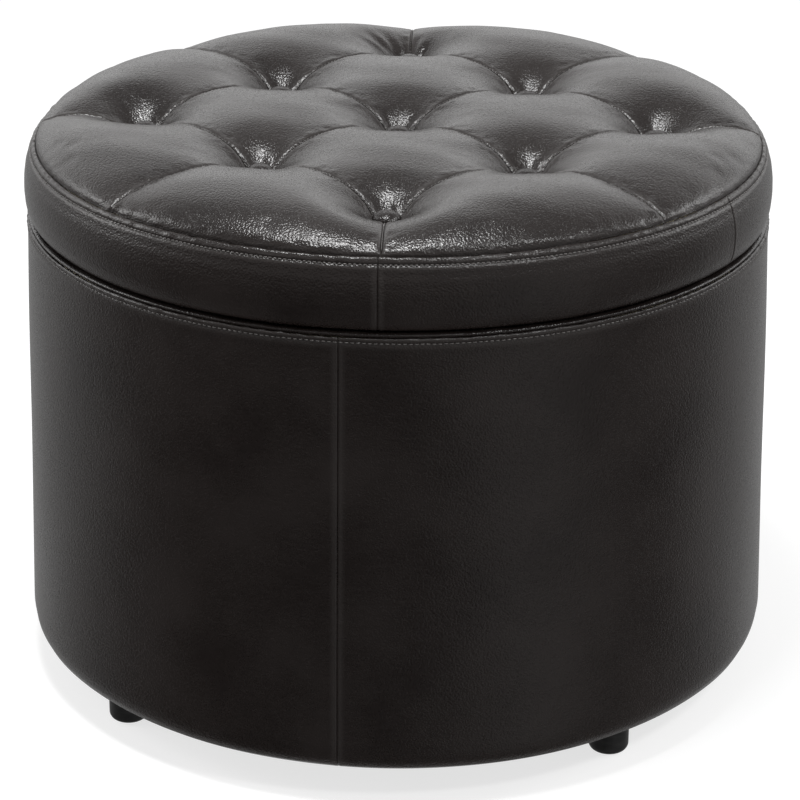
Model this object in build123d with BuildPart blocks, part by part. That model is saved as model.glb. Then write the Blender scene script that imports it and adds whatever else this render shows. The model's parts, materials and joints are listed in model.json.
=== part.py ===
from build123d import *
from math import cos, radians, sin, sqrt
import os

# Round tufted ottoman with storage: a padded drum on four feet and a lift-off
# padded lid.  Millimetres, +Z up, origin on the floor under the centre, and
# -Y is the front.

# ---- overall sizes
lid_diameter = 584.0
drum_diameter = 580.0        # over the cover, at the rim
drum_flare = 8.5             # extra radius of the padded wall at the floor end
rim_height = 373.0           # top of the drum
band_height = 55.0           # drum's rim to the seam round the lid's top
crown_rise = 28.0            # padded top above that seam

# ---- sheet stock
cover = 1.5                  # imitation leather
lining = 1.0                 # black non-woven fabric
hardboard = 3.0
board = 12.0                 # plywood discs
slack = 0.5                  # padding stops this short of a cover
body_gap = 0.3               # between drum and lid where the lid rests

# ---- drum
wall_padding_thickness = 6.5
frame_depth = 18.0           # radial depth of rings and uprights
ring_height = 15.0
upright_width = 45.0
upright_count = 6
rim_hem = 36.0               # rim facing turned down inside the drum
wrap_width = 38.5            # cover turned in under the base
wrap_overlap = 12.0          # dust cover over the turned-in cover
floor_edge_radius = 14.0     # rounded lower edge of the drum
cover_halves = 2             # equal pieces of the wall's cover
cover_seam_turn = -98.3      # angle of the first upright seam between them

# ---- feet
foot_diameter = 31.0
foot_height = 24.0
foot_inset = 33.5            # foot centre in from the drum's cover at the floor
foot_edge = 6.0
foot_turn = 38.2             # angle of the first foot
foot_count = 4
stud_radius = 3.0
stud_in_foot = 16.0
stud_in_wood = 22.0

# ---- lid
band_seam_turns = (-92.8, -31.8)   # angles of the two seams in the lid's band
seam_inset = 10.0            # top edge seam in from the band's belly
belly_rise = 21.0            # drum's rim to the fullest line of the band
band_foot_inset = 5.0        # lower edge in from the belly
crown_shoulder = 48.0        # width of the rounded edge of the padded top
crown_fall = 2.0             # from the middle of the top out to that rounding
bend_out = 0.21              # the rounding's middle point, as shares of its
bend_up = 0.6                # width and of the crown's rise
board_inset = 12.0           # lid board in from the belly
locator_clearance = 4.0      # locating disc to the drum's mouth, all round
lid_edge_radius = 5.0        # folded lower edge of the band
lid_wrap_width = 12.0        # band turned in past the locating disc's edge
staple_gap = 0.6             # locating disc hangs this far under the wrap

# ---- tufting
tuft_pitch = 141.5
tuft_turn = 42.6             # angle of the grid's rows
tuft_rows = 3
button_radius = 11.0
button_height = 6.5
button_flat = 2.0            # straight side of a button
button_sink = 3.0            # button's underside below the lid's seam
well_radius = 30.0           # mouth of the hollow round a button
well_margin = 1.0            # floor of the hollow past the button
twine_radius = 0.75
twine_hole_radius = 3.0
anchor_radius = 10.0
anchor_thickness = 1.5
knot_radius = 2.0

# ---- fasteners
screw_radius = 2.0
screw_head_radius = 4.0
screw_head_height = 2.5
base_screw_length = 45.0
rim_screw_length = 40.0
locator_screw_length = 19.0
locator_screw_count = 8
locator_screw_inset = 22.0
locator_screw_turn = 21.3    # angle of the first one, clear of the twine
staple_crown = 10.0
staple_wire = 0.6
staple_leg = 5.0
staple_count = 24

# ---- derived radii
lid_radius = lid_diameter / 2
drum_radius = drum_diameter / 2
drum_foot_radius = drum_radius + drum_flare
shell_radius = drum_radius - cover - slack - wall_padding_thickness
frame_outer = shell_radius - hardboard
frame_inner = frame_outer - frame_depth
inner_skin_inner = frame_inner - hardboard
lining_inner = inner_skin_inner - lining
mouth_radius = lining_inner - cover
frame_middle = (frame_outer + frame_inner) / 2
foot_pitch_radius = drum_foot_radius - foot_inset
wrap_edge = drum_foot_radius - wrap_width
dust_cover_radius = wrap_edge + wrap_overlap
base_staple_radius = (dust_cover_radius + frame_outer) / 2
seam_radius = lid_radius - seam_inset
band_foot_radius = lid_radius - band_foot_inset
lid_board_radius = lid_radius - board_inset
lining_radius = mouth_radius - locator_clearance
locator_radius = lining_radius - lining
lid_wrap_radius = locator_radius - lid_wrap_width
lid_staple_radius = locator_radius - lid_wrap_width / 2
locator_screw_radius = locator_radius - locator_screw_inset

# ---- derived heights
seam_height = rim_height + band_height
belly_height = rim_height + belly_rise
button_seat = seam_height - button_sink
drum_bottom = foot_height + lining
base_bottom = drum_bottom + cover
base_top = base_bottom + board
lower_ring_top = base_top + ring_height
frame_top = rim_height - cover
upper_ring_bottom = frame_top - ring_height
lid_bottom = rim_height + body_gap
lid_board_bottom = lid_bottom + cover
lid_board_top = lid_board_bottom + board
locator_top = lid_bottom - staple_gap
locator_bottom = locator_top - board
crown_height = seam_height + crown_rise
tuft_reach = lid_diameter    # beyond the rim, for cutting the cover's panels

exported = []


def save(piece, name):
    # label and write one sub-part
    piece.part.label = name
    export_step(piece.part, f"parts/{name}.step")
    exported.append(name)


def corner_middle(radius, height, size):
    # halfway round a rounded lower corner of this size
    cut = size * (1 - sqrt(0.5))
    return (radius - cut, height + cut)


def radial_plane(turn):
    # upright half plane through the Z axis, x outward at this angle
    outward = (cos(radians(turn)), sin(radians(turn)), 0)
    sideways = (sin(radians(turn)), -cos(radians(turn)), 0)
    return Plane(origin=(0, 0, 0), x_dir=outward, z_dir=sideways)


def tuft_plane(height):
    # level plane whose x axis follows a row of buttons
    row = (cos(radians(tuft_turn)), sin(radians(tuft_turn)), 0)
    return Plane(origin=(0, 0, height), x_dir=row, z_dir=(0, 0, 1))


def ring_solid(outer, inner, bottom, top):
    # plain annulus between two heights, for the current part
    with BuildSketch(Plane.XY.offset(bottom)) as outline:
        Circle(outer)
        Circle(inner, mode=Mode.SUBTRACT)
    extrude(outline.sketch, amount=top - bottom)


def disc_solid(radius, bottom, top):
    # plain disc between two heights, for the current part
    with BuildSketch(Plane.XY.offset(bottom)) as outline:
        Circle(radius)
    extrude(outline.sketch, amount=top - bottom)


def pins(radius, centre, count, bottom, top, start=0.0, mode=Mode.ADD):
    # equal upright rods on a circle, added to the current part or cut from it
    with BuildSketch(Plane.XY.offset(bottom)) as outline:
        with PolarLocations(centre, count, start_angle=start):
            Circle(radius)
    extrude(outline.sketch, amount=top - bottom, mode=mode)


def drill(radius, centre, count, bottom, top, start=0.0):
    # equal upright holes on a circle, cut from the current part
    pins(radius, centre, count, bottom, top, start, Mode.SUBTRACT)


def tuft_pins(radius, bottom, top, mode=Mode.ADD):
    # equal upright rods under every button, added to the current part or cut
    with BuildSketch(tuft_plane(bottom)) as outline:
        with GridLocations(tuft_pitch, tuft_pitch, tuft_rows, tuft_rows):
            Circle(radius)
    extrude(outline.sketch, amount=top - bottom, mode=mode)


def staples(centre, count, face, depth_up):
    # U-shaped staples on a circle, crowns hanging under a face
    half_crown = staple_crown / 2 - staple_wire / 2
    with BuildSketch(Plane.XY.offset(face - staple_wire)) as crowns:
        with PolarLocations(centre, count):
            Rectangle(staple_wire, staple_crown)
    extrude(crowns.sketch, amount=staple_wire)
    with BuildSketch(Plane.XY.offset(face)) as legs:
        with PolarLocations(centre, count):
            with Locations((0, half_crown), (0, -half_crown)):
                Rectangle(staple_wire, staple_wire)
    extrude(legs.sketch, amount=depth_up)


os.makedirs("parts", exist_ok=True)

# =========================== drum ===========================

# base disc, with pilot holes for the feet and counterbored screw holes
with BuildPart() as base_disc:
    disc_solid(frame_outer, base_bottom, base_top)
    drill(stud_radius, foot_pitch_radius, foot_count, base_bottom, base_top, foot_turn)
    drill(screw_radius, frame_middle, upright_count, base_bottom, base_top)
    drill(screw_head_radius, frame_middle, upright_count, base_bottom,
          base_bottom + screw_head_height)
save(base_disc, "base_disc")

# lower frame ring, standing on the base disc
stud_top = drum_bottom + stud_in_wood
with BuildPart() as lower_ring:
    ring_solid(frame_outer, frame_inner, base_top, lower_ring_top)
    drill(stud_radius, foot_pitch_radius, foot_count, base_top, stud_top, foot_turn)
    drill(screw_radius, frame_middle, upright_count, base_top, lower_ring_top)
save(lower_ring, "lower_ring")

# uprights between the two rings, screwed from below and above
upright_outer = sqrt(frame_outer ** 2 - (upright_width / 2) ** 2)
base_screw_top = base_bottom + base_screw_length
rim_screw_bottom = frame_top - rim_screw_length
for number in range(upright_count):
    turn = number * 360 / upright_count
    direction = (cos(radians(turn)), sin(radians(turn)), 0)
    foot_plane = Plane(origin=(0, 0, lower_ring_top), x_dir=direction, z_dir=(0, 0, 1))
    with BuildPart() as upright:
        with BuildSketch(foot_plane):
            with Locations(((upright_outer + frame_inner) / 2, 0)):
                Rectangle(upright_outer - frame_inner, upright_width)
        extrude(amount=upper_ring_bottom - lower_ring_top)
        drill(screw_radius, frame_middle, 1, lower_ring_top, base_screw_top, turn)
        drill(screw_radius, frame_middle, 1, rim_screw_bottom, upper_ring_bottom, turn)
    save(upright, f"upright_{number + 1}")

# upper frame ring under the rim
with BuildPart() as upper_ring:
    ring_solid(frame_outer, frame_inner, upper_ring_bottom, frame_top)
    drill(screw_radius, frame_middle, upright_count, upper_ring_bottom, frame_top)
    drill(screw_head_radius, frame_middle, upright_count,
          frame_top - screw_head_height, frame_top)
save(upper_ring, "upper_ring")

with BuildPart() as frame_screws:
    pins(screw_radius, frame_middle, upright_count, base_bottom, base_screw_top)
    pins(screw_head_radius, frame_middle, upright_count, base_bottom,
         base_bottom + screw_head_height)
    pins(screw_radius, frame_middle, upright_count, rim_screw_bottom, frame_top)
    pins(screw_head_radius, frame_middle, upright_count,
         frame_top - screw_head_height, frame_top)
save(frame_screws, "frame_screws")

# bent hardboard outside and inside the frame
with BuildPart() as outer_skin:
    ring_solid(shell_radius, frame_outer, base_bottom, frame_top)
save(outer_skin, "outer_skin")

with BuildPart() as inner_skin:
    ring_solid(frame_inner, inner_skin_inner, base_top, frame_top)
save(inner_skin, "inner_skin")

# black fabric lining of the storage space
with BuildPart() as wall_lining:
    ring_solid(inner_skin_inner, lining_inner, base_top, frame_top)
save(wall_lining, "wall_lining")

with BuildPart() as floor_lining:
    disc_solid(lining_inner, base_top, base_top + lining)
save(floor_lining, "floor_lining")

# foam round the outside, thicker towards the floor
corner_centre = drum_foot_radius - floor_edge_radius
padding_top_radius = drum_radius - cover - slack
padding_foot_radius = drum_foot_radius - cover - slack
padding_bottom = base_bottom + slack
wall_foot = drum_bottom + floor_edge_radius
with BuildPart() as wall_padding:
    with BuildSketch(Plane.XZ):
        with BuildLine():
            ThreePointArc(
                (corner_centre, padding_bottom),
                corner_middle(padding_foot_radius, padding_bottom,
                              floor_edge_radius - cover - slack),
                (padding_foot_radius, wall_foot),
            )
            Polyline(
                (padding_foot_radius, wall_foot),
                (padding_top_radius, frame_top),
                (shell_radius, frame_top),
                (shell_radius, padding_bottom),
                (corner_centre, padding_bottom),
            )
        make_face()
    revolve(axis=Axis.Z)
save(wall_padding, "wall_padding")

# outer cover in two halves, sewn edge to edge and turned in under the base
half_sweep = 360 / cover_halves
for number in range(cover_halves):
    with BuildPart() as drum_panel:
        with BuildSketch(radial_plane(cover_seam_turn + number * half_sweep)):
            with BuildLine():
                ThreePointArc(
                    (corner_centre, base_bottom),
                    corner_middle(drum_foot_radius - cover, base_bottom,
                                  floor_edge_radius - cover),
                    (drum_foot_radius - cover, wall_foot),
                )
                Polyline(
                    (drum_foot_radius - cover, wall_foot),
                    (drum_radius - cover, frame_top),
                    (drum_radius, frame_top),
                    (drum_foot_radius, wall_foot),
                )
                ThreePointArc(
                    (drum_foot_radius, wall_foot),
                    corner_middle(drum_foot_radius, drum_bottom, floor_edge_radius),
                    (corner_centre, drum_bottom),
                )
                Polyline(
                    (corner_centre, drum_bottom),
                    (wrap_edge, drum_bottom),
                    (wrap_edge, base_bottom),
                    (corner_centre, base_bottom),
                )
            make_face()
        revolve(axis=Axis.Z, revolution_arc=half_sweep)
        drill(stud_radius, foot_pitch_radius, foot_count, drum_bottom, base_bottom, foot_turn)
    save(drum_panel, f"drum_panel_{number + 1}")

# facing over the rim, with a hem turned down inside the mouth
with BuildPart() as rim_facing:
    ring_solid(drum_radius, mouth_radius, frame_top, rim_height)
    ring_solid(lining_inner, mouth_radius, rim_height - rim_hem, frame_top)
save(rim_facing, "rim_facing")

# dust cover and staples under the base
with BuildPart() as dust_cover:
    disc_solid(dust_cover_radius, foot_height, drum_bottom)
    drill(stud_radius, foot_pitch_radius, foot_count, foot_height, drum_bottom, foot_turn)
save(dust_cover, "dust_cover")

with BuildPart() as base_staples:
    staples(base_staple_radius, staple_count, drum_bottom, staple_leg)
save(base_staples, "base_staples")

# feet: round glides with a rounded lower edge, each on a threaded stud
for number in range(foot_count):
    turn = foot_turn + number * 360 / foot_count
    x = foot_pitch_radius * cos(radians(turn))
    y = foot_pitch_radius * sin(radians(turn))
    with BuildPart() as foot:
        with BuildSketch(Plane(origin=(x, y, 0))):
            Circle(foot_diameter / 2)
        extrude(amount=foot_height)
        fillet(foot.edges().group_by(Axis.Z)[0], radius=foot_edge)
        with BuildSketch(Plane(origin=(x, y, foot_height - stud_in_foot))):
            Circle(stud_radius)
        extrude(amount=stud_in_foot, mode=Mode.SUBTRACT)
    save(foot, f"foot_{number + 1}")

with BuildPart() as foot_studs:
    pins(stud_radius, foot_pitch_radius, foot_count,
         foot_height - stud_in_foot, stud_top, foot_turn)
save(foot_studs, "foot_studs")

# =========================== lid ===========================

# lid board, with a hole for the twine under each button
with BuildPart() as lid_board:
    disc_solid(lid_board_radius, lid_board_bottom, lid_board_top)
    tuft_pins(twine_hole_radius, lid_board_bottom, lid_board_top, Mode.SUBTRACT)
    drill(screw_radius, locator_screw_radius, locator_screw_count, lid_board_bottom,
          locator_bottom + locator_screw_length, locator_screw_turn)
save(lid_board, "lid_board")

# disc that drops into the drum's mouth and keeps the lid in place
with BuildPart() as locating_disc:
    disc_solid(locator_radius, locator_bottom, locator_top)
    drill(screw_radius, locator_screw_radius, locator_screw_count, locator_bottom,
          locator_top, locator_screw_turn)
    drill(screw_head_radius, locator_screw_radius, locator_screw_count, locator_bottom,
          locator_bottom + screw_head_height, locator_screw_turn)
save(locating_disc, "locating_disc")

with BuildPart() as locator_screws:
    pins(screw_radius, locator_screw_radius, locator_screw_count, locator_bottom,
         locator_bottom + locator_screw_length, locator_screw_turn)
    pins(screw_head_radius, locator_screw_radius, locator_screw_count, locator_bottom,
         locator_bottom + screw_head_height, locator_screw_turn)
save(locator_screws, "locator_screws")

# fabric over the underside and edge of the locating disc
with BuildPart() as lid_lining:
    disc_solid(lining_radius, locator_bottom - lining, locator_bottom)
    ring_solid(lining_radius, locator_radius, locator_bottom, locator_top)
save(lid_lining, "lid_lining")


def top_line(drop, edge_gap):
    # half outline of the padded top, from the axis out to the edge seam
    edge_at = seam_radius - cover - edge_gap
    edge = (edge_at, seam_height - drop)
    shoulder = (edge_at - crown_shoulder, crown_height - crown_fall - drop)
    bend = (edge_at - crown_shoulder * bend_out, seam_height + crown_rise * bend_up - drop)
    Line((0, crown_height - drop), shoulder)
    ThreePointArc(shoulder, bend, edge)
    return edge


def side_line(inset, top):
    # outline of the band from a point at the seam down to the lower edge
    belly = (lid_radius - inset, belly_height)
    foot_point = (band_foot_radius - inset, lid_bottom + lid_edge_radius)
    ThreePointArc(top, belly, foot_point)
    return foot_point


def padded_top(drop, edge_gap):
    # solid under the padded top's outline, down to the lid board, with the
    # hollows that the buttons pull into it
    with BuildPart() as solid:
        with BuildSketch(Plane.XZ):
            with BuildLine():
                edge = top_line(drop, edge_gap)
                Polyline(edge, (edge[0], lid_board_top), (0, lid_board_top),
                         (0, crown_height - drop))
            make_face()
        revolve(axis=Axis.Z)
        floor = button_seat - drop
        with Locations(tuft_plane((floor + crown_height) / 2).location):
            with GridLocations(tuft_pitch, tuft_pitch, tuft_rows, tuft_rows):
                Cone(
                    bottom_radius=button_radius + well_margin + drop,
                    top_radius=well_radius + drop,
                    height=crown_height - floor,
                    mode=Mode.SUBTRACT,
                )
        tuft_pins(twine_radius, lid_board_top, crown_height, Mode.SUBTRACT)
    return solid.part


cover_outside = padded_top(0, 0)
cover_inside = padded_top(cover, 0)
foam_core = padded_top(cover + slack, slack)

# foam pad: the buttoned top, and a border that wraps over the board's edge
with BuildPart() as lid_foam:
    with BuildSketch(Plane.XZ):
        with BuildLine():
            inset = cover + slack
            start = (seam_radius - inset, seam_height - inset)
            end = side_line(inset, start)
            Polyline(
                end,
                (band_foot_radius - lid_edge_radius - slack, lid_board_bottom),
                (lid_board_radius, lid_board_bottom),
                (lid_board_radius, lid_board_top),
                (seam_radius - crown_shoulder, lid_board_top),
                (seam_radius - crown_shoulder, seam_height - inset),
                start,
            )
        make_face()
    revolve(axis=Axis.Z)
    add(foam_core)
save(lid_foam, "lid_foam")


def cover_panel(name, corners):
    # the part of the top cover over one region of the button grid
    with BuildPart() as panel:
        add(cover_outside)
        add(cover_inside, mode=Mode.SUBTRACT)
        with BuildSketch(tuft_plane(lid_board_top)):
            Polygon(*corners, align=None)
        extrude(amount=crown_height, mode=Mode.INTERSECT)
    save(panel, name)


# top cover: four diamonds inside the button grid, eight panels round it
quadrants = ((1, 1), (-1, 1), (-1, -1), (1, -1))
for number, (sx, sy) in enumerate(quadrants):
    far = (sx * tuft_pitch, sy * tuft_pitch)
    cover_panel(f"diamond_panel_{number + 1}", ((0, 0), (far[0], 0), far, (0, far[1])))

for number, (sx, sy) in enumerate(quadrants):
    corner = (sx * tuft_pitch, sy * tuft_pitch)
    outer = (sx * tuft_reach, sy * tuft_reach)
    along_x = ((corner[0], 0), corner, outer, (outer[0], 0))
    along_y = ((0, corner[1]), (0, outer[1]), outer, corner)
    cover_panel(f"border_panel_{2 * number + 1}", along_x)
    cover_panel(f"border_panel_{2 * number + 2}", along_y)

# band round the lid in two lengths, turned in under the board
first_arc = band_seam_turns[1] - band_seam_turns[0]
band_arcs = ((band_seam_turns[0], first_arc), (band_seam_turns[1], 360 - first_arc))
fold = band_foot_radius - lid_edge_radius
for number, (turn, arc) in enumerate(band_arcs):
    with BuildPart() as band:
        with BuildSketch(radial_plane(turn)):
            with BuildLine():
                outer_foot = side_line(0, (seam_radius, seam_height))
                inner_foot = side_line(cover, (seam_radius - cover, seam_height))
                Line((seam_radius, seam_height), (seam_radius - cover, seam_height))
                ThreePointArc(
                    outer_foot,
                    corner_middle(band_foot_radius, lid_bottom, lid_edge_radius),
                    (fold, lid_bottom),
                )
                Polyline((fold, lid_bottom), (lid_wrap_radius, lid_bottom),
                         (lid_wrap_radius, lid_board_bottom), (fold, lid_board_bottom),
                         inner_foot)
            make_face()
        revolve(axis=Axis.Z, revolution_arc=arc)
    save(band, f"lid_band_{number + 1}")

with BuildPart() as lid_staples:
    staples(lid_staple_radius, staple_count, lid_bottom, staple_leg)
save(lid_staples, "lid_staples")

# covered buttons, tied down through the pad to washers under the board
button_places = [
    (column * tuft_pitch, row * tuft_pitch)
    for row in (-1, 0, 1)
    for column in (-1, 0, 1)
]
for number, place in enumerate(button_places):
    with BuildPart() as button:
        with BuildSketch(tuft_plane(button_seat)):
            with Locations(place):
                Circle(button_radius)
        extrude(amount=button_height)
        fillet(button.edges().group_by(Axis.Z)[-1], radius=button_height - button_flat)
    save(button, f"button_{number + 1}")


anchor_bottom = lid_board_bottom - anchor_thickness
with BuildPart() as tufting_twine:
    tuft_pins(twine_radius, anchor_bottom, button_seat)
    tuft_pins(knot_radius, locator_top, anchor_bottom)
save(tufting_twine, "tufting_twine")

with BuildPart() as anchor_washers:
    tuft_pins(anchor_radius, anchor_bottom, lid_board_bottom)
    tuft_pins(twine_radius, anchor_bottom, lid_board_bottom, Mode.SUBTRACT)
save(anchor_washers, "anchor_washers")

print(f"{len(exported)} nodes")
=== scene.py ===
import json
from math import cos, pi, radians, sin

import bmesh
import bpy
import numpy as np
from mathutils import Matrix, Vector


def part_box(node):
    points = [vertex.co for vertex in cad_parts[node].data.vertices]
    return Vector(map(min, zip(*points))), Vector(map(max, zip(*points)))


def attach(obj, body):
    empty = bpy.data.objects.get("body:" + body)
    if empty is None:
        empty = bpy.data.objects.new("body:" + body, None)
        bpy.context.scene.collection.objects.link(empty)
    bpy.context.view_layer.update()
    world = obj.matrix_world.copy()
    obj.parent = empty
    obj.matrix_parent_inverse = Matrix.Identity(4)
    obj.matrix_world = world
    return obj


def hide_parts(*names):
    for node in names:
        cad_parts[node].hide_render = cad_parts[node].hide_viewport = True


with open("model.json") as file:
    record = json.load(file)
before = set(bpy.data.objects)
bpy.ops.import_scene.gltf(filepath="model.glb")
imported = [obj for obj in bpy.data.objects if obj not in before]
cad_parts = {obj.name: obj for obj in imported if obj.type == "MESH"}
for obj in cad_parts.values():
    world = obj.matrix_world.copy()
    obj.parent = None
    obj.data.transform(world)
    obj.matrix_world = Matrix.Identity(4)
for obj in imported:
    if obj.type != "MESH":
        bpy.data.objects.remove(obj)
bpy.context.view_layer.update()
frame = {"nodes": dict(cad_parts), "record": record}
mm = 0.001
print("frame loaded")


def low(node):
    # lowest corner of a node's box
    return np.array(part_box(node)[0])


def high(node):
    # highest corner of a node's box
    return np.array(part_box(node)[1])


def middle(node):
    # mean of the two corners
    return (low(node) + high(node)) / 2


rimTop = high("rim_facing")[2]
drumBottom = low("drum_panel_1")[2]
lidRadius = high("lid_band_2")[0]
lidBottom = low("lid_band_2")[2]
seamHeight = high("lid_band_2")[2]
seamRadius = lidRadius - 10 * mm
boardTop = high("lid_board")[2]
boardRadius = high("lid_board")[0]
buttonSeat = low("button_5")[2]
tuftCentre = middle("button_5")[:2]
tuftAlong = middle("button_6")[:2] - tuftCentre
tuftPitch = np.linalg.norm(tuftAlong)
tuftAlong = tuftAlong / tuftPitch
tuftAcross = np.array([-tuftAlong[1], tuftAlong[0]])
buttonPlaces = np.array([middle(f"button_{n}")[:2] for n in range(1, 10)])
drumSeamTurn = radians(-98.3)                      # upright seams, as angles round the axis
bandSeamTurns = (radians(-92.8), radians(-31.8))


class Wire:
    # an output socket; arithmetic on it adds Math nodes
    def __init__(self, finish, socket):
        self.finish = finish
        self.socket = socket

    def math(self, operation, first, second):
        # one Math node on two values
        return self.finish.node("ShaderNodeMath", {"operation": operation}, {0: first, 1: second})

    def __add__(self, other):
        return self.math("ADD", self, other)

    def __radd__(self, other):
        return self.math("ADD", other, self)

    def __sub__(self, other):
        return self.math("SUBTRACT", self, other)

    def __rsub__(self, other):
        return self.math("SUBTRACT", other, self)

    def __mul__(self, other):
        return self.math("MULTIPLY", self, other)

    def __rmul__(self, other):
        return self.math("MULTIPLY", other, self)


class Finish:
    # the nodes of a material or of the world, with one method that adds any node
    def __init__(self, name, kind="materials"):
        self.material = getattr(bpy.data, kind).new(name)
        self.material.use_nodes = True
        self.tree = self.material.node_tree
        self.tree.nodes.clear()

    def node(self, kind, settings, values, output=0):
        # settings first, then each socket's value or link
        made = self.tree.nodes.new(kind)
        for key, value in settings.items():
            setattr(made, key, value)
        for key, value in values.items():
            if isinstance(value, Wire):
                self.tree.links.new(value.socket, made.inputs[key])
            else:
                made.inputs[key].default_value = value
        return Wire(self, made.outputs[output])

    def place(self, scale=(1, 1, 1), turn=(0, 0, 0)):
        # object coordinates, stretched and turned
        where = self.node("ShaderNodeTexCoord", {}, {}, "Object")
        values = {"Vector": where, "Scale": scale, "Rotation": turn}
        return self.node("ShaderNodeMapping", {}, values)

    def noise(self, where, scale, detail=2.0, roughness=0.5):
        # cloudy values about 0.5
        values = {"Vector": where, "Scale": scale, "Detail": detail, "Roughness": roughness}
        return self.node("ShaderNodeTexNoise", {}, values, "Fac")

    def cells(self, where, scale, feature="F1"):
        # distance to the nearest of scattered points
        values = {"Vector": where, "Scale": scale}
        return self.node("ShaderNodeTexVoronoi", {"feature": feature}, values, "Distance")

    def between(self, value, low, high):
        # 0 below low, 1 above high
        values = {"Value": value, "From Min": low, "From Max": high}
        return self.node("ShaderNodeMapRange", {"clamp": True}, values)

    def blend(self, factor, first, second):
        # first colour at 0, second at 1
        values = {"Factor": factor, 6: (*first, 1) if isinstance(first, tuple) else first,
                  7: (*second, 1) if isinstance(second, tuple) else second}
        return self.node("ShaderNodeMix", {"data_type": "RGBA"}, values, 2)

    def bump(self, height, strength, distance, normal=None):
        # a normal tilted by a height, on top of another one
        values = {"Height": height, "Strength": strength, "Distance": distance}
        if normal is not None:
            values["Normal"] = normal
        return self.node("ShaderNodeBump", {}, values)

    def surface(self, **values):
        # the shader, its sockets under short names
        names = {"baseColor": "Base Color", "roughness": "Roughness", "metallic": "Metallic",
                 "normal": "Normal", "specular": "Specular IOR Level", "glow": "Emission Color",
                 "glowStrength": "Emission Strength"}
        shader = self.node("ShaderNodeBsdfPrincipled", {}, {names[k]: v for k, v in values.items()})
        return self.finishWith("ShaderNodeOutputMaterial", shader)

    def finishWith(self, kind, shader):
        # joins the shader to the output
        out = self.tree.nodes.new(kind)
        self.tree.links.new(shader.socket, out.inputs["Surface"])
        return self.material


leatherLook = {
    "dark": (0.0085, 0.0060, 0.0054),
    "light": (0.0150, 0.0114, 0.0104),
    "pebble": 1.35 * mm,
    "roughness": 0.25,
}


def leatherFinish():
    # near-black imitation leather: pebbled grain, faint creases, and a painted highlight that
    # lightens the seam edges
    look = Finish("leather_pebbled")
    here = look.place()
    pebble = look.cells(here, 1 / leatherLook["pebble"], "SMOOTH_F1")
    fine = look.noise(here, 2600.0, 2.0)
    streak = look.noise(look.place((70, 420, 420)), 1.0, 3.0, 0.6)
    patch = look.noise(here, 14.0, 3.0)
    # painted highlight: a lighter band beside the seams, carried on the mesh as a point attribute
    seamHighlight = look.node("ShaderNodeAttribute", {"attribute_name": "paintedSeamHighlight"}, {}, "Fac")
    tone = look.between(patch * 0.7 + streak * 0.3, 0.35, 0.65)
    colour = look.blend(tone, leatherLook["dark"], leatherLook["light"])
    # the painted highlight mixed in: the seam band made lighter, as if lit
    colour = look.blend(seamHighlight * 0.35, colour, (0.035, 0.030, 0.028))
    grain = look.bump(1 - pebble, 0.85, 0.40 * mm)
    grain = look.bump(fine, 0.16, 0.14 * mm, grain)
    grain = look.bump(streak, 0.28, 0.5 * mm, grain)
    rough = leatherLook["roughness"] + (patch - 0.5) * 0.10 + pebble * 0.06 + seamHighlight * 0.05
    return look.surface(baseColor=colour, roughness=rough, normal=grain, specular=0.5)


def threadFinish():
    # twisted black polyester thread
    look = Finish("thread_black")
    twist = look.noise(look.place((1500, 1500, 1500)), 1.0, 1.0)
    colour = look.blend(twist, (0.050, 0.046, 0.045), (0.150, 0.140, 0.135))
    return look.surface(baseColor=colour, roughness=0.24 + twist * 0.12,
                        normal=look.bump(twist, 0.5, 0.1 * mm), specular=0.6)


def foamFinish():
    # open-cell cream foam
    look = Finish("foam_cream")
    here = look.place()
    cell = look.cells(here, 620.0)
    tone = look.noise(here, 30.0, 3.0)
    colour = look.blend(tone, (0.72, 0.64, 0.42), (0.86, 0.80, 0.60))
    return look.surface(baseColor=colour, roughness=0.85 + tone * 0.1,
                        normal=look.bump(cell, 0.6, 0.6 * mm), specular=0.2)


def liningFinish():
    # black non-woven fabric with a pressed dot pattern
    look = Finish("lining_black")
    here = look.place()
    dots = look.cells(look.place((1, 1, 1)), 420.0)
    fluff = look.noise(here, 1400.0, 3.0, 0.7)
    cloud = look.noise(here, 22.0, 3.0)
    colour = look.blend(look.between(fluff * 0.6 + cloud * 0.4, 0.3, 0.7),
                        (0.010, 0.010, 0.011), (0.030, 0.030, 0.032))
    height = look.between(dots, 0.1, 0.6) * 0.7 + fluff * 0.3
    return look.surface(baseColor=colour, roughness=0.80 + fluff * 0.15,
                        normal=look.bump(height, 0.5, 0.4 * mm), specular=0.25)


def plywoodFinish():
    # light plywood: grain on the faces, plies showing on the edges
    look = Finish("plywood_raw")
    grain = look.noise(look.place((14, 260, 260)), 1.0, 5.0, 0.6)
    ring = look.noise(look.place((6, 40, 6)), 1.0, 3.0)
    height = look.place((1, 1, 2 * pi / (2.4 * mm)))
    layer = look.node("ShaderNodeSeparateXYZ", {}, {"Vector": height}, "Z")
    plies = look.node("ShaderNodeMath", {"operation": "SINE"}, {0: layer})
    facing = look.node("ShaderNodeNewGeometry", {}, {}, "Normal")
    upward = look.node("ShaderNodeSeparateXYZ", {}, {"Vector": facing}, "Z")
    flat = look.node("ShaderNodeMath", {"operation": "ABSOLUTE"}, {0: upward})
    faceTone = look.between(grain * 0.6 + ring * 0.4, 0.3, 0.7)
    face = look.blend(faceTone, (0.46, 0.31, 0.17), (0.70, 0.53, 0.33))
    edge = look.blend(look.between(plies, -0.6, 0.6), (0.28, 0.17, 0.09), (0.66, 0.49, 0.30))
    colour = look.blend(look.between(flat, 0.4, 0.6), edge, face)
    return look.surface(baseColor=colour, roughness=0.62 + grain * 0.2,
                        normal=look.bump(grain, 0.35, 0.3 * mm), specular=0.3)


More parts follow.
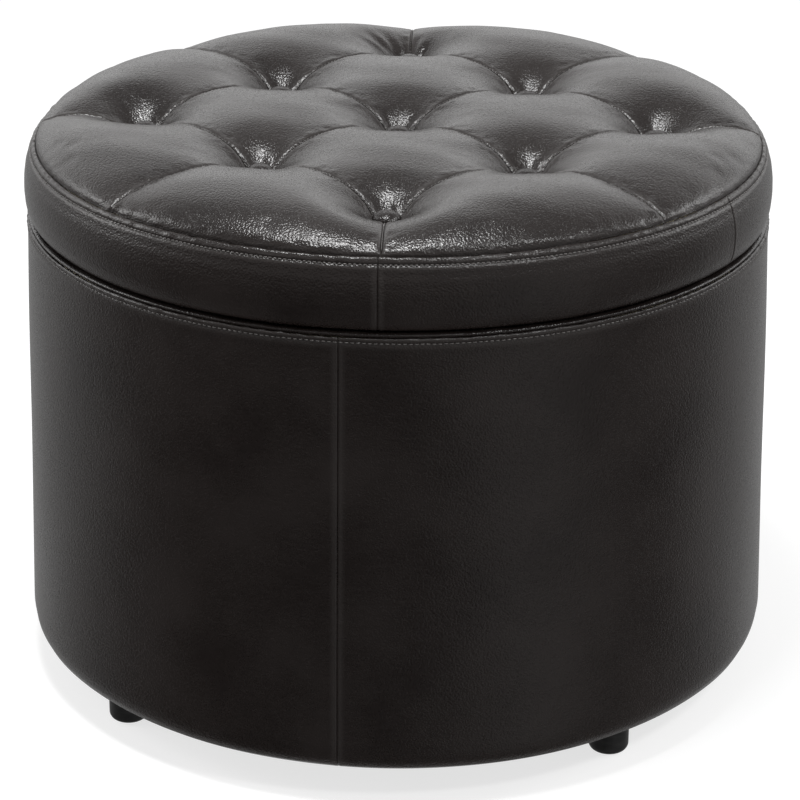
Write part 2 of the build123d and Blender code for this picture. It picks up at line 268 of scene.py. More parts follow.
def hardboardFinish():
    # brown pressed fibre board
    look = Finish("hardboard_brown")
    here = look.place()
    fibre = look.noise(here, 900.0, 4.0, 0.7)
    cloud = look.noise(here, 18.0, 3.0)
    colour = look.blend(look.between(fibre * 0.5 + cloud * 0.5, 0.3, 0.7),
                        (0.15, 0.080, 0.040), (0.30, 0.18, 0.10))
    return look.surface(baseColor=colour, roughness=0.55 + fibre * 0.25,
                        normal=look.bump(fibre, 0.4, 0.25 * mm), specular=0.3)


def footFinish():
    # black moulded plastic with a light spark texture
    look = Finish("plastic_black")
    here = look.place()
    spark = look.noise(here, 1800.0, 2.0)
    scuff = look.noise(look.place((90, 90, 500)), 1.0, 3.0, 0.7)
    colour = look.blend(look.between(scuff, 0.45, 0.75), (0.009, 0.009, 0.009),
                        (0.022, 0.022, 0.021))
    return look.surface(baseColor=colour, roughness=0.40 + spark * 0.12 + scuff * 0.10,
                        normal=look.bump(spark, 0.25, 0.12 * mm), specular=0.45)


def steelFinish():
    # zinc-plated steel
    look = Finish("steel_zinc")
    here = look.place()
    spangle = look.cells(here, 700.0)
    brush = look.noise(look.place((400, 400, 60)), 1.0, 2.0)
    colour = look.blend(spangle, (0.50, 0.50, 0.50), (0.72, 0.72, 0.70))
    return look.surface(baseColor=colour, metallic=1.0, roughness=0.28 + brush * 0.2,
                        normal=look.bump(brush, 0.15, 0.1 * mm))


def twineFinish():
    # waxed natural twine
    look = Finish("twine_waxed")
    twist = look.noise(look.place((900, 900, 500)), 1.0, 2.0)
    colour = look.blend(twist, (0.42, 0.34, 0.22), (0.74, 0.66, 0.50))
    return look.surface(baseColor=colour, roughness=0.5 + twist * 0.2,
                        normal=look.bump(twist, 0.6, 0.2 * mm))


finishes = {
    "leather": leatherFinish(),
    "foam": foamFinish(),
    "lining": liningFinish(),
    "plywood": plywoodFinish(),
    "hardboard": hardboardFinish(),
    "foot_plastic": footFinish(),
    "steel": steelFinish(),
    "twine": twineFinish(),
    "thread": threadFinish(),
}
for row in frame["record"]["subparts"]:
    slots = frame["nodes"][row["node"]].material_slots
    for materialSlot in slots:
        materialSlot.material = finishes[row["material_slot"]]
print("finishes made")


def gridFaces(rows, columns, start=0, wrap=False):
    # quads of a rows x columns grid of points numbered row by row
    r, c = np.meshgrid(np.arange(rows - 1), np.arange(columns - (not wrap)), indexing="ij")
    nextColumn = (c + 1) % columns
    quad = np.stack([r * columns + c, r * columns + nextColumn,
                     (r + 1) * columns + nextColumn, (r + 1) * columns + c], -1)
    return quad.reshape(-1, 4) + start


def gridNormals(points, wrap=False):
    # cross product of the grid's row and column directions at each point
    if wrap:
        across = np.roll(points, -1, 1) - np.roll(points, 1, 1)
    else:
        across = np.gradient(points, axis=1)
    down = np.gradient(points, axis=0)
    normal = np.cross(across, down)
    return normal / np.maximum(np.linalg.norm(normal, axis=2, keepdims=True), 1e-12)


def addMesh(name, points, faces, material, body, weld=True):
    # a mesh object from arrays, welded, facing outwards, riding on a body
    mesh = bpy.data.meshes.new(name)
    mesh.from_pydata(points.reshape(-1, 3).tolist(), [], [list(f) for f in faces])
    work = bmesh.new()
    work.from_mesh(mesh)
    if weld:
        bmesh.ops.remove_doubles(work, verts=work.verts, dist=2e-6)
    bmesh.ops.recalc_face_normals(work, faces=work.faces)
    work.to_mesh(mesh)
    work.free()
    mesh.polygons.foreach_set("use_smooth", np.full(len(mesh.polygons), True))
    mesh.materials.append(finishes[material])
    piece = bpy.data.objects.new(name, mesh)
    bpy.context.scene.collection.objects.link(piece)
    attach(piece, body)
    return piece


def sheetPiece(name, outer, thickness, material, body, wrap=False, seamHighlight=None, sideways=None):
    # a skin: the grid of points, the same grid moved in along its normals by the
    # thickness, and strips that close its edges
    rows, columns = outer.shape[:2]
    normals = gridNormals(outer, wrap) if sideways is None else sideways
    inner = outer - normals * thickness
    count = rows * columns
    front = gridFaces(rows, columns, 0, wrap)
    back = gridFaces(rows, columns, count, wrap)[:, ::-1]
    number = np.arange(count).reshape(rows, columns)
    strips = []
    edges = [number[0], number[-1][::-1]]
    if not wrap:
        edges += [number[::-1, 0], number[:, -1]]
    for edge in edges:
        if wrap:
            edge = np.append(edge, edge[0])
        strips.append(np.stack([edge[1:], edge[:-1], edge[:-1] + count, edge[1:] + count], -1))
    faces = np.concatenate([front, back, *strips])
    piece = addMesh(name, np.concatenate([outer.reshape(-1, 3), inner.reshape(-1, 3)]), faces,
                    material, body, weld=False)
    # painted highlight: the seam band's weights stored on the points for the leather's colour
    if seamHighlight is not None:
        layer = piece.data.attributes.new("paintedSeamHighlight", "FLOAT", "POINT")
        both = np.concatenate([seamHighlight.ravel(), seamHighlight.ravel()]).astype(np.float32)
        layer.data.foreach_set("value", both)
    return piece


def splineRows(count, places):
    # matrix that reads a natural cubic spline through count equally spaced
    # values at the given places, which run from 0 to count - 1
    size = count - 2
    curve = np.zeros((count, count))
    solve = 4 * np.eye(size) + np.eye(size, k=1) + np.eye(size, k=-1)
    right = np.zeros((size, count))
    index = np.arange(size)
    right[index, index] = 6
    right[index, index + 1] = -12
    right[index, index + 2] = 6
    curve[1:-1] = np.linalg.solve(solve, right)
    cell = np.clip(np.floor(places).astype(int), 0, count - 2)
    b = places - cell
    a = 1 - b
    rows = np.zeros((len(places), count))
    line = np.arange(len(places))
    rows[line, cell] += a
    rows[line, cell + 1] += b
    return (rows + ((a ** 3 - a) / 6)[:, None] * curve[cell]
            + ((b ** 3 - b) / 6)[:, None] * curve[cell + 1])


def ripple(points, wavelength, seed, waves=7):
    # sum of sine waves in random directions: smooth unevenness between about -1 and 1
    chance = np.random.default_rng(seed)
    total = np.zeros(points.shape[:-1])
    for _ in range(waves):
        direction = chance.normal(size=3)
        direction /= np.linalg.norm(direction)
        pitch = np.asarray(wavelength) * chance.uniform(0.7, 1.4)
        total += np.sin((points * direction / pitch).sum(-1) * 2 * pi + chance.uniform(0, 2 * pi))
    return total / waves ** 0.5 / 1.2


def bell(distance, width):
    # 1 at 0, falling off over the width
    return np.exp(-(distance / width) ** 2)


def stitchRow(name, centres, along, outward, length, radius, body):
    # short threads: six-sided tubes along a low arch, one for each centre
    stations = np.array([-0.5, -0.32, 0.0, 0.32, 0.5]) * length
    rise = np.array([-0.9, 0.35, 0.75, 0.35, -0.9]) * radius
    thick = np.array([0.5, 0.95, 1.0, 0.95, 0.5]) * radius
    turns = np.arange(6) * pi / 3
    side = np.cross(outward, along)
    upright = rise[:, None] + thick[:, None] * np.sin(turns)[None, :]
    sideways = thick[:, None] * np.cos(turns)[None, :]
    points = (centres[:, None, None, :]
              + along[:, None, None, :] * stations[None, :, None, None]
              + outward[:, None, None, :] * upright[None, ..., None]
              + side[:, None, None, :] * sideways[None, ..., None])
    per = 30
    one = gridFaces(5, 6, 0, True)
    starts = np.arange(len(centres)) * per
    quads = (one[None] + starts[:, None, None]).reshape(-1, 4)
    first = np.arange(6)[::-1] + starts[:, None]
    last = np.arange(24, 30) + starts[:, None]
    faces = quads.tolist() + first.tolist() + last.tolist()
    return addMesh(name, points, faces, "thread", body, weld=False)


topShape = {
    "seamRise": 18.5 * mm,       # sewn lines above the edge seam
    "seamWidth": 125 * mm,     # how far in they go on climbing
    "seamReach": 20 * mm,      # how far a button's pull spreads along them
    "puffRise": 22 * mm,       # the pads between them
    "puffWidth": 80 * mm,
    "puffReach": 21 * mm,
    "borderExtra": 3 * mm,     # pads near the edge stand this much higher
    "blend": 25 * mm,          # from a sewn line to the full pad
    "floor": 13 * mm,          # flat bottom of a button's hollow
    "press": 2.5 * mm,           # most that the pressed cloth may move
    "leather": 1.2 * mm,
}
coarseCells = 28
borderCells = 20


def tuftPlan(u, v):
    # plan position of a point given along and across the rows of buttons
    return tuftCentre + u[..., None] * tuftAlong + v[..., None] * tuftAcross


def diamondPlan(sx, sy, s, t):
    # s and t run straight along the rows of buttons, sx and sy give the quarter
    return tuftPlan(sx * tuftPitch * s, sy * tuftPitch * t)


def borderPlan(sx, sy, swap, s, t):
    # straight lines from the grid's side to the round edge; t crowds towards the edge
    across = 1 - (1 - t) ** 1.5
    u = (1 - across) * tuftPitch + across * seamRadius * np.cos(s * pi / 4)
    v = (1 - across) * tuftPitch * s + across * seamRadius * np.sin(s * pi / 4)
    if swap:
        u, v = v, u
    return tuftPlan(sx * u, sy * v)


def nearestButton(plan):
    # distance from each point to each of the nine buttons
    return np.linalg.norm(plan[..., None, :] - buttonPlaces, axis=-1)


def padLevel(plan, rise, width, reach):
    # a rounded edge as a quarter ellipse, less an exponential hollow at every button
    radius = np.linalg.norm(plan, axis=-1)
    share = np.clip((seamRadius - radius) / width, 0, 1)
    top = rise * np.sqrt(np.clip(1 - (1 - share) ** 2, 0, 1))
    beyond = np.clip(nearestButton(plan) - topShape["floor"], 0, None)
    hollow = np.clip(np.exp(-beyond / reach).sum(-1), 0, 1) * (seamHeight + rise - buttonSeat)
    return seamHeight + top - np.minimum(hollow, top + seamHeight - buttonSeat)


def startHeight(plan, seamDistance):
    # the sewn lines' level, going over to the pads' level away from them
    sewn = padLevel(plan, topShape["seamRise"], topShape["seamWidth"], topShape["seamReach"])
    outward = np.clip((np.linalg.norm(plan, axis=-1) - 0.5 * seamRadius) / (0.3 * seamRadius), 0, 1)
    puffRise = topShape["puffRise"] + topShape["borderExtra"] * outward
    pads = padLevel(plan, puffRise, topShape["puffWidth"], topShape["puffReach"])
    return sewn + (pads - sewn) * (1 - np.exp(-seamDistance / topShape["blend"]))


quadrants = ((1, 1), (-1, 1), (-1, -1), (1, -1))
patches = []
for quadrant, (sx, sy) in enumerate(quadrants):
    patches.append({"name": f"diamond_panel_{quadrant + 1}", "kind": "diamond",
                    "plan": lambda s, t, sx=sx, sy=sy: diamondPlan(sx, sy, s, t)})
    for swap in (False, True):
        patches.append({"name": f"border_panel_{2 * quadrant + 1 + swap}", "kind": "border",
                        "plan": lambda s, t, sx=sx, sy=sy, w=swap: borderPlan(sx, sy, w, s, t)})


def seamGap(patch, s, t):
    # distance in metres to the nearest sewn side of the patch, near its sides
    if patch["kind"] == "diamond":
        return np.minimum(np.minimum(s, 1 - s), np.minimum(t, 1 - t)) * tuftPitch
    reach = (1 - s) * (seamRadius - tuftPitch) + s * (seamRadius - tuftPitch * 2 ** 0.5)
    across = 1 - (1 - t) ** 1.5
    breadth = (1 - across) * tuftPitch + across * seamRadius * pi / 4
    return np.minimum(np.minimum(s, 1 - s) * breadth, across * reach)


def patchStart(patch):
    # coarse grid of points over one panel
    rows = borderCells if patch["kind"] == "border" else coarseCells
    t, s = np.meshgrid(np.linspace(0, 1, rows + 1), np.linspace(0, 1, coarseCells + 1),
                       indexing="ij")
    plan = patch["plan"](s, t)
    height = startHeight(plan, seamGap(patch, s, t))
    return np.concatenate([plan, height[..., None]], -1)


def joinPatches(grids):
    # one vertex for each different point, and every grid's vertex numbers
    everything = np.concatenate([g.reshape(-1, 3) for g in grids])
    keys = np.round(everything[:, :2] / (0.05 * mm)).astype(np.int64)
    _, first, number = np.unique(keys, axis=0, return_index=True, return_inverse=True)
    number = number.ravel()
    numbers, start = [], 0
    for g in grids:
        size = g.shape[0] * g.shape[1]
        numbers.append(number[start:start + size].reshape(g.shape[:2]))
        start += size
    return everything[first], numbers


grids = [patchStart(patch) for patch in patches]
topPoints, patchNumbers = joinPatches(grids)
topRadius = np.linalg.norm(topPoints[:, :2], axis=1)
rimNumbers = np.where(topRadius > seamRadius - 0.1 * mm)[0]
rimNumbers = rimNumbers[np.argsort(np.arctan2(topPoints[rimNumbers, 1], topPoints[rimNumbers, 0]))]

# the pad's border and underside, held still while the top fills out
borderProfile = [(seamRadius + 4 * mm, seamHeight - 8 * mm),
                 (lidRadius - 3 * mm, seamHeight - 24 * mm),
                 (lidRadius - 3 * mm, seamHeight - 38 * mm),
                 (lidRadius - 7 * mm, lidBottom + 5 * mm),
                 (boardRadius + 1 * mm, lidBottom + 2 * mm), (boardRadius + 1 * mm, boardTop),
                 (boardRadius * 0.5, boardTop), (1 * mm, boardTop)]
rimTurns = np.arctan2(topPoints[rimNumbers, 1], topPoints[rimNumbers, 0])
rimCount = len(rimNumbers)
sideRows = [np.stack([r * np.cos(rimTurns), r * np.sin(rimTurns), np.full(rimCount, z)], 1)
            for r, z in borderProfile]
padPoints = np.concatenate([topPoints, *sideRows])
padFaces = []
for numbers in patchNumbers:
    faceCorners = np.stack([numbers[:-1, :-1], numbers[:-1, 1:], numbers[1:, 1:],
                            numbers[1:, :-1]], -1)
    padFaces += faceCorners.reshape(-1, 4).tolist()
rowNumbers = [rimNumbers] + [len(topPoints) + k * rimCount + np.arange(rimCount)
                             for k in range(len(borderProfile))]
for upper, lower in zip(rowNumbers[:-1], rowNumbers[1:]):
    strip = np.stack([upper, np.roll(upper, -1), np.roll(lower, -1), lower], -1)
    padFaces += strip.tolist()
padFaces.append(rowNumbers[-1].tolist())


topCloth = {
    "quality": 6,
    "mass": 0.3,
    "tension_stiffness": 18,
    "compression_stiffness": 18,
    "shear_stiffness": 8,
    "bending_stiffness": 3.0,
    "air_damping": 3,
    "vertex_group_mass": "hold",
    "pin_stiffness": 1.0,
    "use_pressure": True,
    "uniform_pressure_force": 4.0,
    "shrink_min": -0.004,      # a little loose
}
lastFrame = 26
seamHold = 0.6                 # how firmly the sewn seams are held; 1 is fixed


def pressTop(points, faces):
    # cloth held at the buttons, the edge seam and loosely along the sewn seams
    # fills out under air pressure; returns where its points come to rest
    mesh = bpy.data.meshes.new("pressing")
    mesh.from_pydata(points.tolist(), [], faces)
    work = bmesh.new()
    work.from_mesh(mesh)
    bmesh.ops.recalc_face_normals(work, faces=work.faces)
    work.to_mesh(mesh)
    work.free()
    pressing = bpy.data.objects.new("pressing", mesh)
    bpy.context.scene.collection.objects.link(pressing)
    hold = pressing.vertex_groups.new(name="hold")
    count = len(topPoints)
    plan = points[:count, :2]
    close = nearestButton(plan).min(-1)
    held = np.zeros(len(points))
    held[count:] = 1.0
    held[rimNumbers] = 1.0
    for patch, numbers in zip(patches, patchNumbers):
        sewn = np.zeros(numbers.shape)
        sewn[0, :] = sewn[:, 0] = sewn[:, -1] = seamHold
        if patch["kind"] == "diamond":
            sewn[-1, :] = seamHold
        held[numbers.ravel()] = np.maximum(held[numbers.ravel()], sewn.ravel())
    held[:count][close < topShape["floor"]] = 1.0
    for weight in np.unique(np.round(held, 3)):
        if weight > 0:
            chosen = np.where(np.abs(held - weight) < 5e-4)[0]
            hold.add(chosen.tolist(), float(weight), "REPLACE")
    cloth = pressing.modifiers.new("Cloth", "CLOTH")
    setting = cloth.settings
    for key, value in topCloth.items():
        setattr(setting, key, value)
    setting.effector_weights.gravity = 0.0
    cloth.collision_settings.use_collision = False
    cloth.point_cache.frame_start = 1
    cloth.point_cache.frame_end = lastFrame
    for number in range(1, lastFrame + 1):
        bpy.context.scene.frame_set(number)
    shaped = pressing.evaluated_get(bpy.context.evaluated_depsgraph_get()).to_mesh()
    moved = np.empty(len(points) * 3)
    shaped.vertices.foreach_get("co", moved)
    bpy.context.scene.frame_set(1)
    bpy.data.objects.remove(pressing)
    return moved.reshape(-1, 3)


pressed = pressTop(padPoints, padFaces)
shift = pressed - padPoints
distance = np.linalg.norm(shift, axis=1, keepdims=True)
print("top pressed, most moved", round(float(distance.max()) / mm, 1), "mm")
settle = np.clip((seamRadius - np.linalg.norm(padPoints[:, :2], axis=1)) / (45 * mm), 0, 1)[:, None]
share = topShape["press"] * np.tanh(distance / topShape["press"]) / np.maximum(distance, 1e-9)
padShaped = padPoints + shift * share * settle


def parameterLines(cells):
    # lines half a stitch apart, with extra ones beside both ends; also each
    # line's place counted in half stitches
    main = np.arange(cells + 1, dtype=float)
    beside = np.array([0.22, 0.5, 1.45])
    places = np.sort(np.concatenate([main, beside, cells - beside]))
    return places / cells, places


def lengthsAlong(points, axis):
    # distance travelled along a grid's lines from its first row or column
    step = np.linalg.norm(np.diff(points, axis=axis), axis=2)
    zero = np.zeros_like(np.take(step, [0], axis=axis))
    return np.concatenate([zero, np.cumsum(step, axis=axis)], axis=axis)


seamShape = {
    "groove": 1.30 * mm, "grooveWidth": 0.90 * mm,
    "roll": 0.26 * mm, "rollAt": 3.0 * mm, "rollWidth": 1.9 * mm,
    "pucker": 0.13 * mm, "puckerReach": 2.6 * mm,
    "uneven": 0.30 * mm, "sag": 0.28 * mm,
    "edgeShare": 0.35,         # the seam round the edge is this much shallower
    "lineCells": 80,           # half stitches along a panel's side
}
seamStitches = []


def finePanel(patch, numbers):
    # spline through the pressed grid, then sewn seams, puckers and small folds
    rows = numbers.shape[0] - 1
    crossCells = seamShape["lineCells"] if patch["kind"] == "diamond" else 62
    s, sCount = parameterLines(seamShape["lineCells"])
    t, tCount = parameterLines(crossCells)
    coarse = padShaped[numbers]
    base = np.einsum("ik,klc->ilc", splineRows(rows + 1, t * rows), coarse)
    base = np.einsum("jl,ilc->ijc", splineRows(coarseCells + 1, s * coarseCells), base)
    if gridNormals(base)[len(t) // 2, len(s) // 2, 2] < 0:
        base = base[:, ::-1]
    normals = gridNormals(base)
    alongT, alongS = lengthsAlong(base, 0), lengthsAlong(base, 1)
    last = seamShape["edgeShare"] if patch["kind"] == "border" else 1.0
    sides = [(alongT, sCount[None, :], 1.0), (alongS, tCount[:, None], 1.0),
             (alongS[:, -1:] - alongS, tCount[:, None], 1.0),
             (alongT[-1:] - alongT, sCount[None, :], last)]
    up = np.array([0.0, 0.0, 1.0])
    lift = np.zeros(base.shape[:2])
    seamHighlight = np.zeros(base.shape[:2])
    nearest = np.full(base.shape[:2], 1.0)
    for away, count, share in sides:
        pucker = np.cos(pi * count) * np.ones_like(away)
        lift -= seamShape["groove"] * share * bell(away, seamShape["grooveWidth"])
        lift += (seamShape["roll"] * share
                 * bell(away - seamShape["rollAt"], seamShape["rollWidth"]))
        lift += (seamShape["pucker"] * pucker * np.exp(-away / seamShape["puckerReach"])
                 * np.clip(away / (0.8 * mm), 0, 1))
        lift += (seamShape["uneven"] * ripple(base, 11 * mm, 5) * bell(away - 5 * mm, 5 * mm)
                 * np.clip(away / (2 * mm), 0, 1))
        # painted highlight: a lighter band 2.4 mm in from every seam, read by the leather's colour
        seamHighlight = np.maximum(seamHighlight, bell(away - 2.4 * mm, 1.8 * mm))
        nearest = np.minimum(nearest, away)
    lift += seamShape["sag"] * ripple(base, 42 * mm, 8) * np.clip(nearest / (12 * mm), 0, 1)
    for number, place in enumerate(buttonPlaces):
        lift += buttonFolds(base, place, number) * np.clip(nearest / (2.5 * mm), 0, 1)
    ease = np.clip(nearest / (2.2 * mm), 0, 1)[..., None]
    direction = up * (1 - ease) + normals * ease
    direction /= np.linalg.norm(direction, axis=2, keepdims=True)
    outer = base + direction * lift[..., None]
    piece = sheetPiece(f"top_{patch['name']}", outer, topShape["leather"], "leather", "lid",
                       seamHighlight=seamHighlight, sideways=normals)
    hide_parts(patch["name"])
    collectSeams(base, tCount, sCount)
    return piece, outer


def buttonFolds(points, place, number):
    # small folds that radiate from a button and die out within a few centimetres
    chance = np.random.default_rng(40 + number)
    offset = points[..., :2] - place
    away = np.linalg.norm(offset, axis=-1)
    turn = np.arctan2(offset[..., 1], offset[..., 0])
    total = np.zeros_like(away)
    for waves in (7, 10, 13):
        total += np.cos(waves * turn + chance.uniform(0, 2 * pi)) * chance.uniform(0.5, 1.0)
    total *= 0.28 * mm * bell(away - 15 * mm, 8 * mm)
    if number == 8:                                  # the back button has loose pleats
        for heading, reach in ((112, 26), (134, 34), (158, 30), (66, 20)):
            bend = (turn - radians(heading) + pi) % (2 * pi) - pi
            width = 4.2 * mm / np.maximum(away, 8 * mm)
            total += 1.7 * mm * bell(bend, width) * bell(away - 20 * mm, reach * 0.6 * mm)
            total -= (1.0 * mm * bell(bend - 1.7 * width, width)
                      * bell(away - 20 * mm, reach * 0.6 * mm))
    return total


def collectSeams(base, tCount, sCount):
    # stitch places down the middle of this panel's first row and column seams
    for line, count in ((base[0], sCount), (base[:, 0], tCount), (base[:, -1], tCount)):
        odd = np.where((np.abs(count - np.round(count)) < 1e-6) & (np.round(count) % 2 == 1))[0]
        odd = odd[(odd > 0) & (odd < len(line) - 1)]
        along = line[odd + 1] - line[odd - 1]
        seamStitches.append(np.stack([line[odd], along], 1))


def surfaceArea(points):
    # sum of the two triangles of every cell
    first = np.cross(points[1:, :-1] - points[:-1, :-1], points[:-1, 1:] - points[:-1, :-1])
    second = np.cross(points[1:, :-1] - points[1:, 1:], points[:-1, 1:] - points[1:, 1:])
    return float((np.linalg.norm(first, axis=2) + np.linalg.norm(second, axis=2)).sum() / 2)


def declareCover(piece, outer):
    # flat size of a stretched cover, measured along and across its own surface
    flat = (float(lengthsAlong(outer, 1)[:, -1].max()), float(lengthsAlong(outer, 0)[-1].max()))
    area = min(surfaceArea(outer) * 0.98, flat[0] * flat[1])
    print(piece.name, "flat", [round(x, 3) for x in flat], "area", round(area, 4))


# foam under the buttoned top: the pressed shape, drawn in under the cover
lidPad = addMesh("lid_pad", padShaped, padFaces, "foam", "lid", weld=False)
padNormals = np.empty(len(padShaped) * 3)
lidPad.data.vertex_normals.foreach_get("vector", padNormals)
drawn = np.full((len(padShaped), 1), 2.6 * mm)
drawn[len(topPoints) + 4 * rimCount:] = 0
padInside = padShaped - padNormals.reshape(-1, 3) * drawn
lidPad.data.vertices.foreach_set("co", padInside.ravel())
lidPad.data.update()
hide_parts("lid_foam")

for patch, numbers in zip(patches, patchNumbers):
    panel, panelPoints = finePanel(patch, numbers)
    declareCover(panel, panelPoints)
print("top panels made")


coverShape = {
    "thickness": 1.2 * mm,
    "lidStitches": 504,        # round the lid
    "drumStitches": 444,       # round the rim
    "lidRow": 8.4 * mm,        # stitch row down from the lid's seam
    "drumRow": 6.6 * mm,       # stitch row down from the rim's seam
    "threadRadius": 0.48 * mm,
}


def softProfile(points, blur, near, step):
    # a polyline of (radius, height) in millimetres, its corners rounded by a running
    # mean over the blur, read at the near lengths and then at equal steps to its end
    points = np.array(points, float) * mm
    run = np.append(0, np.cumsum(np.linalg.norm(np.diff(points, axis=0), axis=1)))
    fine = np.arange(0, run[-1], 0.1 * mm)
    line = np.stack([np.interp(fine, run, points[:, k]) for k in (0, 1)], 1)
    reach = int(blur / (0.2 * mm))
    window = np.hanning(2 * reach + 3)[1:-1]
    window /= window.sum()
    padded = np.concatenate([2 * line[0] - line[reach:0:-1], line,
                             2 * line[-1] - line[-2:-reach - 2:-1]])
    line = np.stack([np.convolve(padded[:, k], window, "valid") for k in (0, 1)], 1)
    run = np.append(0, np.cumsum(np.linalg.norm(np.diff(line, axis=0), axis=1)))
    near = np.array(near) * mm
    wanted = np.concatenate([near, np.arange(near[-1] + step, run[-1] - step / 2, step), run[-1:]])
    return np.stack([np.interp(wanted, run, line[:, k]) for k in (0, 1)], 1), wanted


def sectorTurns(start, sweep, columns):
    # column angles half a stitch apart with finer ones beside both ends
    main = np.arange(columns + 1, dtype=float)
    beside = np.array([0.2, 0.45, 0.75, 1.3])
    places = np.sort(np.concatenate([main, beside, columns - beside]))
    return start + sweep * places / columns, places


def carried(profile, turns):
    # the profile at every angle, as a grid of points
    r, z = profile[:, 0][:, None], profile[:, 1][:, None]
    return np.stack([r * np.cos(turns), r * np.sin(turns), z + 0 * turns], -1)


def roundCover(name, node, body, profile, lengths, turns, count, stitchAt, waviness,
               keepFlat):
    # carried profile; then a groove and puckers along the stitch row, a sewn
    # groove at both upright ends, and soft unevenness; returns the stitch row
    base = carried(profile, turns)
    normals = gridNormals(base)
    if (normals[5, 5, :2] * base[5, 5, :2]).sum() < 0:
        normals = -normals
    away = np.abs(lengths - stitchAt)[:, None]
    down = lengths[:, None]
    radius = np.hypot(base[..., 0], base[..., 1])
    aside = np.minimum(turns - turns[0], turns[-1] - turns)[None, :] * radius
    pucker = np.cos(pi * count)[None, :]
    lift = -0.85 * mm * bell(away, 1.1 * mm) + 0.30 * mm * bell(away - 3.4 * mm, 2.0 * mm)
    lift = lift + 0.17 * mm * pucker * np.exp(-away / (2.4 * mm))
    lift = lift + 0.16 * mm * pucker * np.exp(-down / (2.0 * mm)) * np.clip(down / (1.5 * mm), 0, 1)
    lift = lift + (0.35 * mm * ripple(base, np.array([9, 9, 60]) * mm, 3)
                   * bell(down - stitchAt / 2, stitchAt * 0.45))
    lift = lift - 0.8 * mm * bell(aside, 0.6 * mm) + 0.14 * mm * bell(aside - 2.2 * mm, 1.6 * mm)
    lift = lift + waviness * ripple(base, np.array([120, 120, 190]) * mm, 11)
    lift = lift * np.clip(down / (1.0 * mm), 0, 1) * keepFlat[:, None]
    # painted highlight: lighter bands beside the stitch row, the upright seams and the top edge
    seamHighlight = np.maximum(bell(away - 2.2 * mm, 1.6 * mm), bell(aside - 2.4 * mm, 1.8 * mm))
    seamHighlight = np.maximum(seamHighlight, bell(down - 2.0 * mm, 1.5 * mm) * np.ones_like(seamHighlight))
    outer = base + normals * lift[..., None]
    piece = sheetPiece(name, outer, coverShape["thickness"], "leather", body, seamHighlight=seamHighlight,
                       sideways=normals)
    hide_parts(node)
    declareCover(piece, outer)
    row = int(np.argmin(np.abs(lengths - stitchAt)))
    odd = np.where((np.abs(count - np.round(count)) < 1e-6) & (np.round(count) % 2 == 1))[0]
    return outer[row, odd], normals[row, odd]


bandProfile, bandLengths = softProfile(
    [(281.6, 426.2), (282.4, 427.9), (284.2, 427.6), (286.6, 424.0), (288.4, 418.6), (290.6, 412.0),
     (291.9, 403.0), (292.2, 394.0), (291.5, 385.0), (289.8, 378.6), (287.0, 374.6), (283.0, 373.3),
     (270.0, 373.3), (238.0, 373.3)], 3.0 * mm,
    [0, 0.8, 1.6, 2.3, 3.0, 3.8, 4.8, 5.8, 6.8, 7.4, 8.0, 8.4, 8.8, 9.4, 10.0, 10.8, 12.0, 13.5,
     15.5],
    2.4 * mm)
bandProfile[:, 1] = np.maximum(bandProfile[:, 1], lidBottom)
stitchPlaces, stitchNormals = [], []
firstSweep = bandSeamTurns[1] - bandSeamTurns[0]
for number, (start, sweep) in enumerate(((bandSeamTurns[0], firstSweep),
                                         (bandSeamTurns[1], 2 * pi - firstSweep))):
    columns = 2 * round(coverShape["lidStitches"] * sweep / (2 * pi))
    turns, count = sectorTurns(start, sweep, columns)
    places, outward = roundCover(
        f"cover_lid_band_{number + 1}", f"lid_band_{number + 1}", "lid", bandProfile, bandLengths,
        turns, count, coverShape["lidRow"], 0.35 * mm,
        np.clip((bandProfile[:, 1] - lidBottom) / (3 * mm), 0, 1))
    stitchPlaces.append(places)
    stitchNormals.append(outward)
print("lid band made")


def aroundRow(name, places, outward, length, body):
    # one stitch at every place of a row that runs round the axis
    along = np.stack([-places[:, 1], places[:, 0], 0 * places[:, 0]], 1)
    along /= np.linalg.norm(along, axis=1, keepdims=True)
    radius = coverShape["threadRadius"]
    return stitchRow(name, places + outward * 0.35 * mm, along, outward, length, radius, body)


aroundRow("stitches_lid_edge", np.concatenate(stitchPlaces), np.concatenate(stitchNormals),
          2.7 * mm, "lid")

wallPad = softProfile(
    [(281.6, 370.8), (286.6, 370.9), (288.3, 368.5), (288.2, 354), (296.2, 46), (295.4, 37),
     (291.0, 30.5), (286.5, 27.6), (281.6, 27.0)], 4.0 * mm, [0], 9 * mm)[0]
wallPadLoop = np.concatenate([wallPad, wallPad[:1] * [1, 0] + [0, 27 * mm], wallPad[:1]])
padTurns = np.linspace(0, 2 * pi, 181)
padTurns[-1] = padTurns[0]
padGrid = carried(wallPadLoop, padTurns[:-1])
padGrid += (gridNormals(padGrid, True) * 0.25 * mm
            * ripple(padGrid, np.array([90, 90, 90]) * mm, 21)[..., None])
padGrid[-1] = padGrid[0]
wallPadding = addMesh("drum_padding", padGrid, gridFaces(len(wallPadLoop), 180, 0, True),
                      "foam", "drum")
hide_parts("wall_padding")

